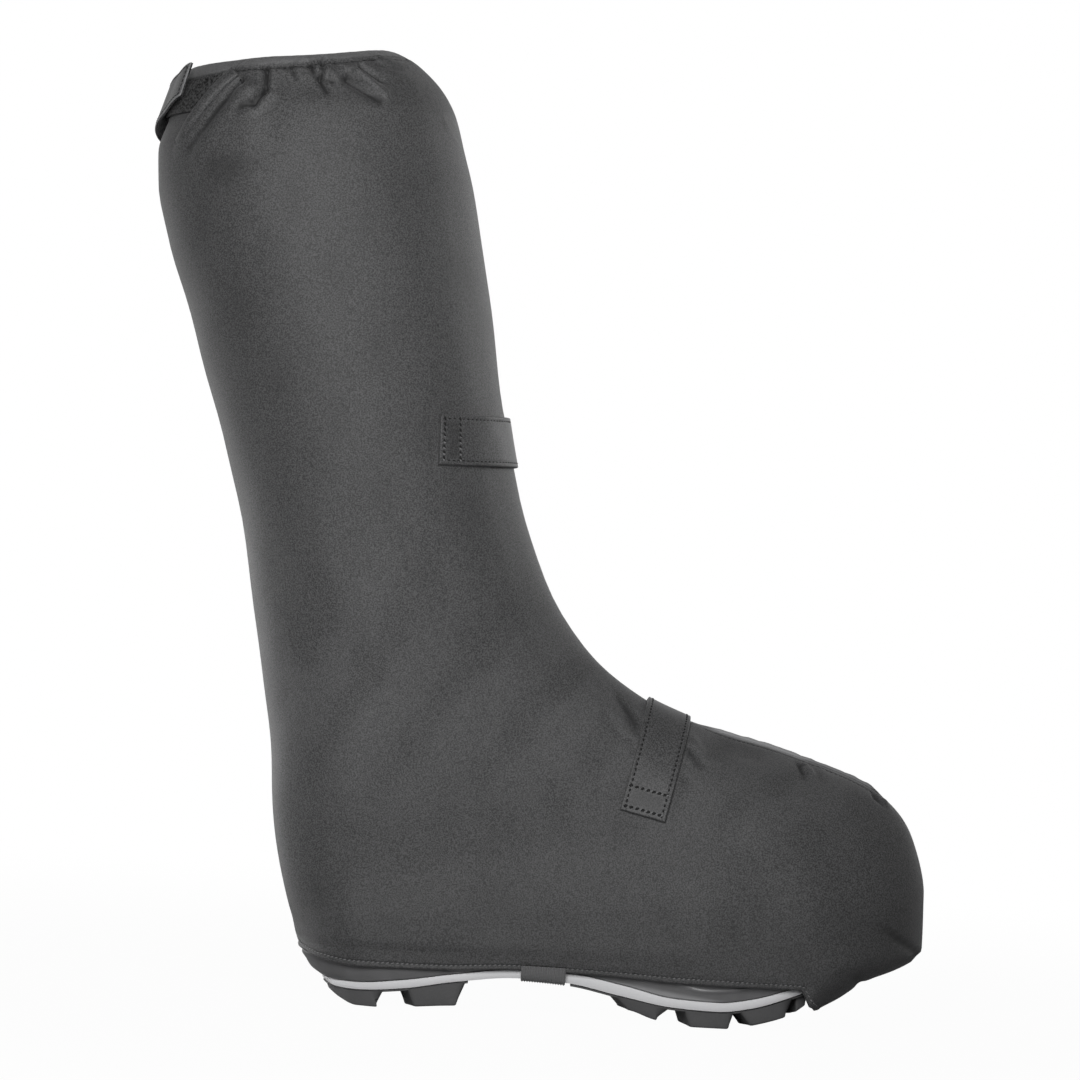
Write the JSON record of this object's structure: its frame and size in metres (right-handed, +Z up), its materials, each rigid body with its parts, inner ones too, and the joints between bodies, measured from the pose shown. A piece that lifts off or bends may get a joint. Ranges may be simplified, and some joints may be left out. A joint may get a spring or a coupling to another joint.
{
  "type": "cycling overshoe",
  "caption": "Knee-high cloth rain overshoe for the right foot, hollow, with gathered collar, hook-and-loop tab, shin and instep straps, over a lugged sole unit with light foam band.",
  "frame": {"origin": "on the floor under the middle of the whole object's box", "axes": "+X to the toe, +Y to the inner side of the right foot, +Z up from the floor to the collar"},
  "size_m": [0.3982, 0.12, 0.4609],
  "materials": {
    "cloth": "coated weave, matte with a soft sheen",
    "rand_rubber": "smooth, satin",
    "foam": "light moulded foam, matte",
    "insole_board": "matte",
    "tread_rubber": "matte moulded rubber",
    "strap_webbing": "coated webbing, sewn edges",
    "elastic_webbing": "ribbed elastic",
    "loop_pile": "dark pile",
    "hook_tab": "doubled cloth, sewn edges"
  },
  "bodies": {
    "root": {"upper": "cloth", "rand": "rand_rubber", "midsole": "foam", "insole": "insole_board", "heel_tread": "tread_rubber", "forefoot_tread": "tread_rubber", "shin_strap": "strap_webbing", "instep_strap": "strap_webbing", "arch_elastic": "elastic_webbing", "collar_loop": "loop_pile", "collar_tab": "hook_tab"}
  },
  "joints": []
}
